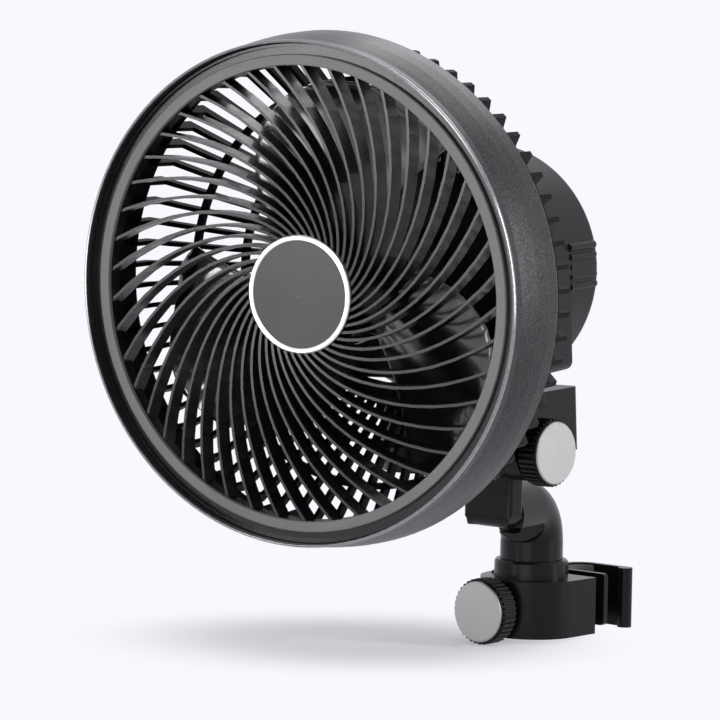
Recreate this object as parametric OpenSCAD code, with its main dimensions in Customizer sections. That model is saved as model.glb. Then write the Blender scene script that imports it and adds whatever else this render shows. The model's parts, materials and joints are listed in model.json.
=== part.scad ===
// Clip fan: a round fan head with a spiral front grille on a panning neck, a tilting
// bracket and a swivelling arm, held to an upright post by a screw clamp.
// Origin: the axis of the gripped post at the middle height of the hook. +Z up, front -Y.

/* [Clamp block] */
// Width of the clamp block
block_w = 48.4; // [44:0.2:56]
// Height of the clamp block
block_h = 27; // [24:0.5:34]
// Distance from the swivel axis to the block's rear face
block_back = 19.5; // [18:0.5:24]
// Height of the hook's middle over the block's middle
hook_lift = 1; // [0:0.5:2]

/* [Hook and jaw] */
// Diameter of the post that the clamp holds at rest
post_d = 12.8; // [11:0.2:14]
// Distance from the swivel axis to the post axis
post_back = 40; // [38:0.5:46]
// Height of the hook
hook_h = 29; // [24:0.5:34]
// Thickness of the hook's wall
hook_t = 3; // [2.4:0.2:4]
// Thickness of the rubber liner in the hook
liner_t = 1.5; // [1:0.1:2]
// Reach of the hook's far arm beyond the post axis
hook_reach = 20.5; // [18:0.5:26]
// Diameter of the bead at the hook's tip
bead_d = 7; // [5.6:0.2:8]
// Thickness of the sliding jaw plate
jaw_t = 3; // [2.4:0.2:4]
// Height of the sliding jaw plate
jaw_h = 25; // [20:0.5:27]
// Reach of the jaw plate past the screw axis
jaw_reach = 21.8; // [19:0.2:24]
// Thickness of the jaw's rubber pad
pad_t = 1.3; // [0.8:0.1:1.6]

/* [Knobs and screws] */
// Diameter of both knobs over the ridges
knob_d = 31.2; // [28:0.4:34]
// Thickness of both knobs
knob_t = 10.5; // [8:0.5:13]
// Number of grip ridges on a knob
knob_ridges = 36; // [24:1:48]
// Depth of a grip ridge
ridge_depth = 0.9; // [0.5:0.1:1.4]
// Diameter of the metal disc on a knob
knob_disc_d = 29; // [26:0.2:30]
// Thickness of the metal disc on a knob
knob_disc_t = 1; // [0.6:0.1:1.4]
// Diameter of the clamp screw and of the tilt bolt
bolt_d = 6; // [5:0.5:7]

/* [Collar and arm] */
// Outer diameter of the collar ring
collar_d = 35.6; // [35:0.2:42]
// Height of the collar ring
collar_h = 8.5; // [7:0.5:11]
// Diameter of the arm's round tube
arm_d = 30; // [28:0.5:32]
// Height at which the arm starts to bend, over the block's middle
bend_z = 31; // [29:0.5:34]
// Angle of the arm's reach away from straight ahead
arm_yaw = 13.4; // [8:0.2:18]
// Diameter of the spigot under the arm
spigot_d = 16; // [12:0.5:17]

/* [Tilt hinge] */
// Distance of the tilt axis in front of the swivel axis
hinge_y = 41.2; // [40:0.2:48]
// Height of the tilt axis over the block's middle
hinge_z = 78; // [76:0.5:86]
// Sideways place of the hinge's middle
hinge_x = 10; // [6:0.2:12]
// Radius of the hinge's round eyes
eye_r = 13.8; // [12:0.1:14.4]
// Thickness of one eye of the arm's fork
eye_t = 10.2; // [8:0.2:12]
// Free width between the two eyes
fork_gap = 8; // [7:0.5:10]
// Width of a fork post from front to back
post_w = 10.5; // [8:0.5:12]

/* [Swivel bracket] */
// Width of the bracket's box
box_w = 48; // [46:0.5:56]
// Reach of the box behind the tilt axis
box_back = 33; // [28:0.5:36]
// Height of the box's lid over the tilt axis
box_top = 26.5; // [25:0.5:31]
// Thickness of the box's walls
box_wall = 3; // [2.4:0.2:4]
// Thickness of the box's lid
lid_t = 4; // [3:0.5:5]
// Distance of the pan axis in front of the tilt axis
pan_y = 42.3; // [40:0.5:48]

/* [Neck] */
// Diameter of the neck's flange
neck_d = 40; // [34:0.5:44]
// Diameter of the neck's spindle
spindle_d = 16; // [12:0.5:18]

/* [Fan head] */
// Height of the fan axis over the tilt axis
axis_h = 83.9; // [83:0.5:92]
// Reach of the front ring ahead of the pan axis
head_reach = 113.4; // [112:0.2:116]
// Diameter of the bezel at the front
bezel_front_d = 208.8; // [206:0.2:211]
// Growth of the bezel's diameter from front to back
bezel_flare = 7.8; // [5:0.2:10]
// Place of the bezel's back edge behind the front ring
bezel_back = 26.4; // [24:0.2:28]
// Width of the dark groove round the flat front ring
ring_groove = 4.2; // [3:0.2:5]
// Width of the flat front ring
front_ring_w = 4.5; // [3.5:0.1:6]
// Thickness of the flat front ring
front_ring_t = 2; // [1.6:0.1:2.4]
// Height of the polished rim in front of the bezel's edge
rim_h = 1.8; // [1.2:0.1:3]
// Width of the polished rim
rim_w = 1.3; // [1.1:0.1:2]

/* [Front grille] */
// Number of spiral ribs
rib_count = 45; // [36:1:54]
// Thickness of a spiral rib
rib_t = 1.2; // [1:0.1:1.6]
// Depth of a spiral rib
rib_depth = 8; // [6:0.5:9]
// Turn of a rib, in degrees for each e-fold of the radius
rib_twist = 45.5; // [35:0.5:52]
// Diameter of the hub
hub_d = 49.2; // [44:0.2:54]
// Setback of the hub behind the front ring
hub_setback = 5.2; // [4.6:0.1:6]
// Width of the bright ring round the hub badge
hub_ring_w = 2.2; // [1.6:0.1:3]

/* [Rear grille] */
// Number of rear bars
bar_count = 68; // [54:1:72]
// Thickness of a rear bar
bar_t = 2; // [1.6:0.1:2.4]
// Depth of a rear bar
bar_depth = 4; // [3:0.2:5]
// Place of the bars' outer corner behind the front ring
bar_corner = 43.1; // [41:0.2:46]
// Diameter of the rear grille's inner ring
inner_ring_d = 113; // [108:0.5:114]

/* [Fan wheel] */
// Number of blades
blade_count = 5; // [3:1:7]
// Distance from the blade tips to the bezel's inner wall
tip_gap = 14; // [10:0.5:20]
// Depth of the fan wheel at the blade tips
wheel_depth = 30; // [24:0.5:30]
// Thickness of a blade
blade_t = 1.8; // [1.4:0.1:2.4]
// Angle that one blade covers
blade_span = 58; // [44:1:62]
// Diameter of the wheel's hub
wheel_hub_d = 50; // [46:0.5:54]
// Length of the skirt that the hub has behind the blades
hub_skirt = 10; // [4:0.5:14]
// Diameter of the motor shaft
shaft_d = 5; // [4:0.5:6]

/* [Housing] */
// Width of the motor housing
housing_w = 113.2; // [112:0.2:118]
// Height of the fan axis over the housing's flat underside
housing_under = 44.6; // [44:0.2:46]
// Place of the housing's front face behind the front ring
housing_front = 91; // [90:0.5:93]
// Depth of the housing
housing_depth = 50; // [48:0.5:52]
// Depth of the rear cover
cover_depth = 31; // [28:0.5:33]
// Wall of the housing and of the rear cover
housing_wall = 2.4; // [2:0.1:3]
// Number of grip ridges on each side of the rear cover
grip_count = 5; // [3:1:7]
// Spacing of the grip ridges
grip_pitch = 4.4; // [4:0.2:6]
// Diameter of the power button
button_d = 16; // [12:0.5:20]
// Travel of the power button
button_travel = 1.5; // [1:0.1:1.8]
// Diameter of the motor can
motor_d = 42; // [36:0.5:44]
// Length of the motor can
motor_len = 33; // [30:0.5:34]
// Diameter of a battery cell
cell_d = 18.4; // [18:0.1:19]
// Length of a battery cell
cell_len = 65; // [60:1:66]

/* [Pose] */
// Nose-down angle of the head at rest
tilt_rest = 4.1; // [0:0.1:8]
// Turn of the head to its left at rest
pan_rest = 11.7; // [0:0.1:20]

/* [Hidden] */
$fn = 72;
// running clearance of a shaft or spindle in its bore, on the radius
run = 0.05;
// gap between pieces of different bodies
gap = 0.3;
// small overlap that joins solids of one piece
eps = 0.02;
bolt_r = bolt_d/2;
// clamp block and collar
block_top = block_h/2;
block_r = block_w/2;
collar_lip = 5;
flange_t = 3.1;
flange_gap = 0.2;
flange_r = arm_d/2 + 1.2;
pin_r = 1.8;
pin_angle = 190;
pin_h = 5.2;
spigot_floor = 5.5;
pocket_half = 7.1;
pocket_y = 7;
// hook and jaw
post_r = post_d/2;
seat_r = post_r + 0.1;
hook_in = seat_r + liner_t;
hook_out = hook_in + hook_t;
bead_r = bead_d/2;
seat_from = 84;
seat_to = 216;
pad_face = post_back - post_r - 0.2;
jaw_back = pad_face - pad_t;
jaw_front = jaw_back - jaw_t;
jaw_left = -4.2;
boss_half = pocket_half - gap;
boss_y = 15.5;
guide_x = 14;
guide_z = 8;
guide_r = 1.6;
guide_y = 6;
hook_screw_r = 1.5;
hook_screw_z = 8;
hook_foot_x = -block_r;
clip_t = 1;
clip_r = bolt_r + 1.8;
// knobs
knob_r = knob_d/2;
ridge_r = knob_r*PI/knob_ridges*0.62;
knob_boss_r = 8;
knob_boss = 0.9;
knob_gap = 3.3;
tilt_knob_gap = 0.6;
insert_r = bolt_r + 1.5;
insert_y = -20;
insert_len = 10;
clamp_knob_y = block_r + knob_gap;
clamp_knob_back = clamp_knob_y + knob_boss;
// arm and hinge
arm_r = arm_d/2;
bend_r = arm_r + 0.6;
bend_over = 3;
seam = 0.1;
eye_in = fork_gap/2;
eye_out = fork_gap/2 + eye_t;
arm_under = bend_z + 10.3;
fork_bottom = arm_under - 0.4;
fork_drop = hinge_z - fork_bottom;
slot_drop = eye_r + 0.6;
leg_round = 2.5;
heel_r = 7.5;
foot_r = 8.5;
scoop_r = 5.2;
scoop_z = arm_under - 1;
scoop_y = bend_r - 0.4;
scoop_x = 1.5;
barrel_r = eye_r - 1.7;
washer_t = 0.8;
washer_gap = 0.1;
barrel_half = eye_in - washer_t - 2*washer_gap;
eye_clear = 0.5;
nut_r = bolt_d*0.96;
nut_t = 5;
// bracket
box_half = box_w/2;
box_floor = -3;
box_round = 3;
lid_z = box_top - lid_t;
lid_boss_r = spindle_d/2 + 5;
lid_boss = 8;
cheek_t = box_half - eye_out - eye_clear;
tilt_knob_x = box_half + gap + 0.6;
lid_post_r = 3.6;
lid_screw_r = 1.5;
lid_head_r = 2.7;
lid_head = 2.4;
lid_grip = 2.4;
// neck
neck_top = axis_h - housing_under;
thrust_t = 0.8;
neck_z = box_top + thrust_t + 2*washer_gap;
spindle_r = spindle_d/2;
spindle_end = lid_z - lid_boss - 3;
// head
bf_r = bezel_front_d/2;
br_r = bf_r + bezel_flare/2;
bezel_z = 2.1;
lip_r = bf_r - rim_w;
grille_rim_r = lip_r - gap;
fr_r = grille_rim_r - ring_groove;
fr_in = fr_r - front_ring_w;
groove_lip = 1;
shelf_z = -(front_ring_t + 6);
bar_r = br_r - 2.9;
ring_in = bar_r - 2.4;
hub_r = hub_d/2;
badge_r = hub_r - hub_ring_w;
hub_depth = 7.6;
rib_in = hub_r - 0.6;
rib_out = fr_in + 1.2;
inner_r = inner_ring_d/2;
collar_end = 32.5;
bar_end_z = -(housing_front - 3);
bar_end_r = inner_r + 1.5;
// wheel and motor
wheel_r = lip_r - tip_gap;
wheel_front = 16;
shaft_r = shaft_d/2;
wheel_hub_r = wheel_hub_d/2;
motor_r = motor_d/2;
motor_back = housing_front - 5;
motor_front = motor_back - motor_len;
can_t = 1.5;
can_end = 2;
stator_in = motor_len*0.27;
rotor_in = motor_len*0.3;
bearing_r = 8;
bearing_t = 5;
rotor_r = motor_r - 5.6;
spinner_r = 6;
// housing
hw = housing_w/2;
split = housing_front + housing_depth;
rear = split + cover_depth;
cover_round = 5;
grip_r = 1.9;
grip_out = 0.6;
screw_r = 1.3;
head_r = 2.6;
head_z = 20;
post_r2 = 3.8;
cover_screw_at = [[-hw + 16.6, 26], [hw - 16.6, 26], [-hw + 11.6, -14], [hw - 11.6, -14]];
button_r = button_d/2;
button_y = 16;
button_out = 1.6;
board_z = rear - 14;
board_t = 1.6;
usb_w = 9;
usb_h = 3.4;
cell_out = 1.5*(cell_d + gap);
cell_in = hw - housing_wall - cell_d/2 - gap;
cell_y = -min(housing_under - housing_wall - cell_d/2 - gap, sqrt(cell_in*cell_in - cell_out*cell_out));
cell_rear = 7;
board_w = 52;
board_h = 48;
board_low = cell_y + cell_d/2 + 3.5;
usb_y = board_low + 6;

// places: block frame, tilting frame, panning frame, and the fan's own frame,
// whose Z axis points out of the front and whose origin is on the flat front ring
module at_block() { translate([0, -post_back, -hook_lift]) children(); }
module at_hinge() { at_block() translate([hinge_x, -hinge_y, hinge_z]) children(); }
module at_tilt() { at_hinge() rotate([tilt_rest, 0, 0]) children(); }
module at_pan() { at_tilt() translate([0, -pan_y, 0]) rotate([0, 0, pan_rest]) children(); }
module at_fan() { at_pan() translate([0, -head_reach, axis_h]) rotate([90, 0, 0]) children(); }

// rectangle with round corners, centred
module round_rect(w, d, r) {
    square([w - 2*r, d], center = true);
    square([w, d - 2*r], center = true);
    for (x = [-1, 1], y = [-1, 1]) translate([x*(w/2 - r), y*(d/2 - r)]) circle(r);
}

// cylinder along +X from x0 to x1
module x_rod(r, x0, x1) { translate([x0, 0, 0]) rotate([0, 90, 0]) cylinder(r = r, h = x1 - x0); }

// cylinder along +Y from y0 to y1
module y_rod(r, y0, y1) { translate([0, y0, 0]) rotate([-90, 0, 0]) cylinder(r = r, h = y1 - y0); }

// knurled knob along +Z: the boss starts at z = 0 and the face is at boss + knob_t
module knob_form(boss) {
    face = boss + knob_t;
    core = knob_r - ridge_depth;
    difference() {
        union() {
            cylinder(r = knob_boss_r, h = boss + 1);
            rotate_extrude() polygon([[0, boss], [core - 0.8, boss], [core, boss + 0.8],
                [core, face - 0.5], [core - 0.5, face], [0, face]]);
            for (i = [0:knob_ridges - 1]) rotate([0, 0, i*360/knob_ridges])
                translate([knob_r - ridge_r, 0, boss + 1.2])
                    cylinder(r = ridge_r, h = knob_t - 2.4, $fn = 24);
        }
        translate([0, 0, face - knob_disc_t]) cylinder(r = knob_disc_d/2 - 1, h = knob_disc_t + 1);
        translate([0, 0, -1]) cylinder(r = bolt_r, h = face - knob_disc_t - 1);
    }
}

// disc for a knob: its back sits in the recess and its edge lies on the knob's face
module disc_form(boss) {
    face = boss + knob_t;
    translate([0, 0, face]) rotate_extrude()
        polygon([[0, -knob_disc_t], [knob_disc_d/2 - 1, -knob_disc_t], [knob_disc_d/2 - 1, 0],
            [knob_disc_d/2 - 0.3, 0], [knob_disc_d/2 - 0.3, 0.3], [knob_disc_d/2 - 0.8, 0.8], [0, 0.8]]);
}

module clamp_block() {
    color("#2b2b2d") at_block() difference() {
        union() {
            difference() {
                translate([0, 0, -block_h/2]) cylinder(r = block_r, h = block_h);
                translate([-block_w, 0, -block_h]) cube([2*block_w, block_w, 2*block_h]);
            }
            translate([-block_r, -eps, -block_h/2]) cube([block_w, block_back + eps, block_h]);
        }
        translate([0, 0, spigot_floor]) cylinder(r = spigot_d/2 + run, h = block_h);
        y_rod(bolt_r + run, -block_w, pocket_y + 1);
        y_rod(insert_r, insert_y, insert_y + insert_len);
        translate([-pocket_half, pocket_y, -pocket_half])
            cube([2*pocket_half, block_back, 2*pocket_half]);
        for (s = [-1, 1]) translate([guide_x, 0, s*guide_z])
            y_rod(guide_r + run, guide_y - 4, block_back + 1);
        for (s = [-1, 1]) translate([hook_foot_x + 5, 0, s*hook_screw_z])
            y_rod(hook_screw_r, block_back - 7.2, block_back + 1);
        rotate([0, 0, pin_angle]) translate([collar_d/2 + pin_r + 0.3, 0, block_top - 4])
            cylinder(r = pin_r, h = 6);
    }
}

module clamp_insert() {
    color("#b08d3c") at_block() difference() {
        y_rod(insert_r, insert_y, insert_y + insert_len);
        y_rod(bolt_r + run, insert_y - 1, insert_y + insert_len + 1);
    }
}

module collar_ring() {
    color("#303032") at_block() translate([0, 0, block_top]) rotate_extrude()
        polygon([[flange_r + 0.3, 0], [collar_d/2, 0], [collar_d/2 - 0.2, collar_h - 1],
            [collar_d/2 - 1, collar_h], [arm_r + run, collar_h],
            [arm_r + run, flange_t + 2*flange_gap], [flange_r + 0.3, flange_t + 2*flange_gap]]);
}

module collar_pin() {
    color("#303032") at_block() rotate([0, 0, pin_angle])
        translate([collar_d/2 + pin_r + 0.3, 0, block_top - 4]) rotate_extrude()
            polygon([[0, 0], [pin_r, 0], [pin_r, pin_h - 0.8], [pin_r - 0.8, pin_h], [0, pin_h]]);
}

module jaw_hook() {
    color("#3a3a3c") difference() {
        union() {
            translate([0, 0, -hook_h/2]) linear_extrude(hook_h) difference() {
                union() {
                    circle(hook_out);
                    translate([-hook_out, block_back - post_back]) square([hook_t, post_back - block_back]);
                    translate([hook_foot_x, block_back - post_back]) square([block_r - hook_in, hook_t]);
                    translate([0, hook_in]) square([hook_reach, hook_t]);
                }
                circle(hook_in);
                translate([-hook_in, -post_back]) square([hook_in + post_back, post_back]);
                translate([0, -post_back]) square([post_back, post_back + hook_in]);
            }
            translate([hook_reach, hook_out - bead_r, -hook_h/2]) cylinder(r = bead_r, h = hook_h);
        }
        for (s = [-1, 1]) translate([hook_foot_x + 5, 0, s*hook_screw_z - hook_lift])
            y_rod(hook_screw_r + 0.1, -post_back, 0);
    }
}

module hook_liner() {
    color("#161617") translate([0, 0, -hook_h/2 + 1]) {
        rotate([0, 0, seat_from]) rotate_extrude(angle = seat_to - seat_from)
            translate([seat_r, 0]) square([liner_t, hook_h - 2]);
    }
}

module hook_screws() {
    color("#8c8c8e") for (s = [-1, 1])
        translate([hook_foot_x + 5, 0, s*hook_screw_z - hook_lift]) union() {
            y_rod(hook_screw_r, block_back - post_back - 7, block_back - post_back + hook_t + eps);
            y_rod(2.8, block_back - post_back + hook_t, block_back - post_back + hook_t + 1.6);
        }
}

module jaw_plate() {
    color("#333335") at_block() difference() {
        union() {
            translate([0, jaw_back, hook_lift]) rotate([90, 0, 0]) linear_extrude(jaw_t)
                translate([(jaw_left + jaw_reach)/2, 0.5]) round_rect(jaw_reach - jaw_left, jaw_h, 2);
            translate([-boss_half, boss_y, -boss_half])
                cube([2*boss_half, jaw_front - boss_y + eps, 2*boss_half]);
            for (s = [-1, 1]) translate([guide_x, 0, s*guide_z])
                y_rod(guide_r, guide_y + 4, jaw_front + eps);
        }
        y_rod(bolt_r + run, boss_y - 1, jaw_back + 1);
        y_rod(clip_r + gap, jaw_back - clip_t - 0.8, jaw_back + 1);
    }
}

module jaw_pad() {
    color("#161617") at_block() translate([0, pad_face, hook_lift]) rotate([90, 0, 0])
        linear_extrude(pad_t) translate([(jaw_left + jaw_reach)/2 - 2, 0.5])
            round_rect(jaw_reach - jaw_left - 6, jaw_h - 3, 1);
}

module clamp_knob() {
    color("#1c1c1e") at_block() translate([0, -clamp_knob_y, 0]) rotate([90, 0, 0])
        knob_form(knob_boss);
}

module clamp_knob_disc() {
    color("#b9b9b7") at_block() translate([0, -clamp_knob_y, 0]) rotate([90, 0, 0])
        disc_form(knob_boss);
}

module clamp_screw() {
    color("#9a9a9c") at_block()
        y_rod(bolt_r, -(clamp_knob_back + knob_t - knob_disc_t - 2), jaw_back - gap);
}

module screw_clips() {
    color("#77777a") at_block() for (y = [boss_y - gap - clip_t, jaw_back - clip_t - 0.5]) difference() {
        y_rod(clip_r, y, y + clip_t);
        y_rod(bolt_r, y - 1, y + clip_t + 1);
    }
}

// fork post and eye at one side of the hinge
module fork_side(x0) {
    translate([x0 + eye_t/2, 0, -slot_drop - 1]) linear_extrude(slot_drop + 1)
        round_rect(eye_t, post_w, leg_round);
    x_rod(eye_r, x0, x0 + eye_t);
}

module swivel_arm() {
    color("#2f2f31") difference() {
        union() {
            at_block() translate([0, 0, spigot_floor + 0.5])
                cylinder(r = spigot_d/2, h = block_top - spigot_floor + 1);
            at_block() translate([0, 0, block_top + flange_gap]) cylinder(r = flange_r, h = flange_t);
            at_block() translate([0, 0, block_top + flange_gap])
                cylinder(r = arm_r, h = bend_z - block_top - flange_gap);
            difference() {
                union() {
                    at_block() rotate([0, 0, arm_yaw]) translate([0, -bend_r, bend_z])
                        rotate([90, 0, 90]) rotate([0, 0, -bend_over])
                            rotate_extrude(angle = 90 + 2*bend_over)
                                translate([bend_r, 0]) circle(arm_r - seam);
                    at_block() rotate([0, 0, arm_yaw]) translate([0, 0, bend_z + bend_r])
                        y_rod(arm_r, 2 - hinge_y/cos(arm_yaw), -bend_r);
                }
                at_block() rotate([0, 0, arm_yaw])
                    translate([-arm_d, -2*hinge_y - bend_r, 0]) cube([2*arm_d, 2*hinge_y, arm_under]);
            }
            // foot of the fork: round upright edges and a round front heel
            at_hinge() intersection() {
                translate([0, 0, -fork_drop]) linear_extrude(fork_drop - slot_drop)
                    round_rect(2*eye_out, post_w, leg_round);
                union() {
                    translate([0, heel_r - post_w/2, heel_r - fork_drop]) x_rod(heel_r, -arm_d, arm_d);
                    translate([-arm_d, -post_w/2, heel_r - fork_drop]) cube([2*arm_d, post_w, fork_drop]);
                    translate([-arm_d, heel_r - post_w/2, -fork_drop]) cube([2*arm_d, post_w, fork_drop]);
                }
                union() {
                    for (s = [-1, 1]) translate([s*(eye_out - foot_r), 0, foot_r - fork_drop])
                        y_rod(foot_r, -post_w, post_w);
                    translate([foot_r - eye_out, -post_w, -fork_drop])
                        cube([2*eye_out - 2*foot_r, 2*post_w, fork_drop]);
                    translate([-eye_out, -post_w, foot_r - fork_drop])
                        cube([2*eye_out, 2*post_w, fork_drop]);
                }
            }
            at_hinge() fork_side(eye_in);
            at_hinge() fork_side(-eye_out);
        }
        at_block() translate([0, -scoop_y, scoop_z]) {
            x_rod(scoop_r, -arm_d, scoop_x);
            translate([scoop_x, 0, 0]) sphere(scoop_r);
        }
        at_hinge() x_rod(bolt_r + run, -eye_out - 1, eye_out + 1);
        at_hinge() translate([-eye_out - 1, 0, 0]) rotate([0, 90, 0])
            cylinder(r = nut_r + 0.1, h = nut_t + 1, $fn = 6);
    }
}

module tilt_knob() {
    color("#1c1c1e") at_hinge() translate([tilt_knob_x, 0, 0]) rotate([0, 90, 0])
        knob_form(tilt_knob_gap);
}

module tilt_knob_disc() {
    color("#b9b9b7") at_hinge() translate([tilt_knob_x, 0, 0]) rotate([0, 90, 0])
        disc_form(tilt_knob_gap);
}

module tilt_bolt() {
    color("#9a9a9c") at_hinge() x_rod(bolt_r, -box_half + 1.2, tilt_knob_x + knob_t - knob_disc_t - 1.6);
}

module tilt_nut() {
    color("#8c8c8e") at_hinge() difference() {
        translate([-eye_out, 0, 0]) rotate([0, 90, 0]) cylinder(r = nut_r, h = nut_t, $fn = 6);
        x_rod(bolt_r + run, -eye_out - 1, 0);
    }
}

module tilt_washers() {
    color("#5c5c5e") at_hinge() for (s = [-1, 1])
        translate([s*(eye_in - washer_gap - washer_t/2), 0, 0]) difference() {
            x_rod(barrel_r - 0.5, -washer_t/2, washer_t/2);
            x_rod(bolt_r + 0.2, -washer_t, washer_t);
        }
}

// plan of the bracket's box: its front end is round about the pan axis
module box_plan(inset) {
    translate([0, -pan_y]) circle(box_half - inset);
    translate([-(box_half - inset), -pan_y])
        square([box_w - 2*inset, pan_y + box_back - inset - box_round]);
    translate([0, box_back/2]) round_rect(box_w - 2*inset, box_back - 2*inset, box_round);
}

// places of the lid's screws
lid_screw_x = box_half - box_wall - lid_post_r + 1;
lid_screw_back = box_back - box_wall - lid_post_r;
lid_screw_front = -(eye_r + box_wall + lid_post_r + 0.8);
lid_screw_at = [for (x = [-1, 1], y = [lid_screw_back, lid_screw_front]) [x*lid_screw_x, y]];

module swivel_bracket() {
    color("#29292b") at_tilt() difference() {
        union() {
            difference() {
                translate([0, 0, box_floor]) linear_extrude(lid_z - box_floor) box_plan(0);
                difference() {
                    translate([0, 0, box_floor + box_wall]) linear_extrude(lid_z) box_plan(box_wall);
                    x_rod(eye_r + eye_clear + box_wall, -box_half, box_half);
                }
            }
            x_rod(eye_r, eye_out + eye_clear, box_half);
            x_rod(eye_r, -box_half, -eye_out - eye_clear);
            x_rod(barrel_r, -barrel_half, barrel_half);
            for (p = lid_screw_at) translate([p[0], p[1], box_floor])
                cylinder(r = lid_post_r, h = lid_z - box_floor);
        }
        for (p = lid_screw_at) translate([p[0], p[1], box_floor - 1]) {
            cylinder(r = lid_screw_r + 0.1, h = 2*box_top);
            cylinder(r = lid_head_r + 0.2, h = 1 + lid_head);
        }
        for (s = [-1, 1]) difference() {
            translate([s*(eye_in + eye_out)/2, 0, 0])
                x_rod(eye_r + eye_clear, -eye_t/2 - eye_clear, eye_t/2 + eye_clear);
            x_rod(barrel_r, -barrel_half, barrel_half);
        }
        difference() {
            x_rod(eye_r + eye_clear, -eye_in, eye_in);
            x_rod(2*eye_r, -barrel_half, barrel_half);
        }
        x_rod(bolt_r + run, -box_half + 0.8, box_half + 1);
    }
}

module bracket_lid() {
    color("#2d2d2f") at_tilt() difference() {
        union() {
            translate([0, 0, lid_z]) linear_extrude(lid_t) box_plan(0);
            translate([0, -pan_y, lid_z - lid_boss]) cylinder(r = lid_boss_r, h = lid_boss + eps);
        }
        translate([0, -pan_y, 0]) cylinder(r = spindle_r + run, h = 2*box_top);
        for (p = lid_screw_at) translate([p[0], p[1], lid_z - 1])
            cylinder(r = lid_screw_r, h = 1 + lid_grip);
    }
}

module lid_screws() {
    color("#77777a") at_tilt() for (p = lid_screw_at) translate([p[0], p[1], box_floor + 0.4]) union() {
        cylinder(r = lid_head_r, h = lid_head - 0.4);
        cylinder(r = lid_screw_r, h = lid_z + lid_grip - box_floor - 0.4);
    }
}

module thrust_washer() {
    color("#c9c9c6") at_tilt() translate([0, -pan_y, box_top + washer_gap]) difference() {
        cylinder(r = neck_d/2 - 3, h = thrust_t);
        translate([0, 0, -1]) cylinder(r = spindle_r + 0.2, h = thrust_t + 2);
    }
}

module neck() {
    color("#29292b") at_pan() union() {
        translate([0, 0, neck_z]) rotate_extrude() polygon([[0, 0], [neck_d/2 - 1, 0], [neck_d/2, 1],
            [neck_d/2 - 1.6, neck_top - neck_z - 3], [neck_d/2 + 1, neck_top - neck_z - 1.5],
            [neck_d/2 + 1, neck_top - neck_z], [0, neck_top - neck_z]]);
        translate([0, 0, spindle_end]) cylinder(r = spindle_r, h = neck_z - spindle_end + eps);
    }
}

module spindle_clip() {
    color("#77777a") at_pan() translate([0, 0, lid_z - lid_boss - 1.4]) difference() {
        cylinder(r = spindle_r + 2.6, h = 1.2);
        translate([0, 0, -1]) cylinder(r = spindle_r, h = 4);
    }
}

// housing's outline seen from the front: a round top over a flat underside
module housing_plan(inset) {
    r = 4;
    circle(hw - inset);
    translate([-(hw - inset), -(housing_under - inset) + r])
        square([2*(hw - inset), housing_under - inset - r]);
    translate([-(hw - inset) + r, -(housing_under - inset)])
        square([2*(hw - inset) - 2*r, housing_under]);
    for (s = [-1, 1]) translate([s*(hw - inset - r), -(housing_under - inset) + r]) circle(r);
}

module housing_bar(inset, z0, z1) {
    difference() {
        translate([0, 0, -z1]) linear_extrude(z1 - z0) housing_plan(inset);
        translate([-2*hw, -(housing_under - inset) - 2*hw, -z1 - 1]) cube([4*hw, 2*hw, z1 - z0 + 2]);
    }
}

module housing() {
    color("#3a3a3c") at_fan() difference() {
        union() {
            difference() {
                housing_bar(0, housing_front, split);
                housing_bar(housing_wall, housing_front + 3, split - 3);
                translate([0, 0, -split - 1]) intersection() {
                    cylinder(r = hw - housing_wall, h = 10);
                    translate([-hw, -(housing_under - housing_wall), 0]) cube([2*hw, 2*hw, 10]);
                }
            }
            translate([0, 0, -housing_front - eps])
                cylinder(r = motor_r + 3, h = housing_front - motor_back + eps);
            for (p = cover_screw_at) translate([p[0], p[1], -split])
                cylinder(r = post_r2, h = housing_depth - 2);
        }
        translate([0, 0, -housing_front - 4]) cylinder(r = shaft_r + 2, h = 20);
        for (p = cover_screw_at) translate([p[0], p[1], -split - 1]) cylinder(r = screw_r, h = 10);
    }
}

module rear_cover() {
    color("#353537") at_fan() difference() {
        union() {
            difference() {
                union() {
                    translate([0, 0, -rear]) rotate_extrude() polygon(concat([[0, 0]],
                        [for (a = [0:15:90]) [hw - cover_round + cover_round*sin(a),
                            cover_round - cover_round*cos(a)]],
                        [[hw, cover_depth], [0, cover_depth]]));
                    for (s = [-1, 1], i = [0:grip_count - 1])
                        translate([s*(hw + grip_out - grip_r), (i - (grip_count - 1)/2)*grip_pitch + 1,
                            -rear + cover_round])
                            cylinder(r = grip_r, h = cover_depth - cover_round - 1, $fn = 32);
                }
                intersection() {
                    translate([0, 0, -rear + 3]) cylinder(r = hw - housing_wall, h = cover_depth);
                    translate([-hw, -(housing_under - housing_wall), -rear])
                        cube([2*hw, 2*hw, cover_depth + 2]);
                }
                translate([-2*hw, -housing_under - 2*hw, -rear - 1])
                    cube([4*hw, 2*hw, cover_depth + 2]);
            }
            for (p = cover_screw_at) translate([p[0], p[1], -rear + 1])
                cylinder(r = post_r2, h = cover_depth - 1);
            for (x = [-1, 1], y = [board_low + 4, board_low + board_h - 4])
                translate([x*(board_w/2 - 4), y, -rear + 1])
                    cylinder(r = 2.4, h = rear - 1 - board_z - board_t/2);
        }
        for (p = cover_screw_at) translate([p[0], p[1], -rear - 1]) {
            cylinder(r = head_r + 0.2, h = 1 + head_z);
            cylinder(r = screw_r, h = cover_depth + 2);
        }
        translate([0, button_y, -rear - 1]) cylinder(r = button_r + gap, h = 6);
        translate([-usb_w/2 - 0.2, usb_y - usb_h/2 - 0.2, -rear - 1]) cube([usb_w + 0.4, usb_h + 0.4, 6]);
        for (s = [-1, 1], i = [0:6]) translate([s*30 - 8, -15 + i*5, -rear - 1]) cube([16, 2.2, 6]);
    }
}

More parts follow.
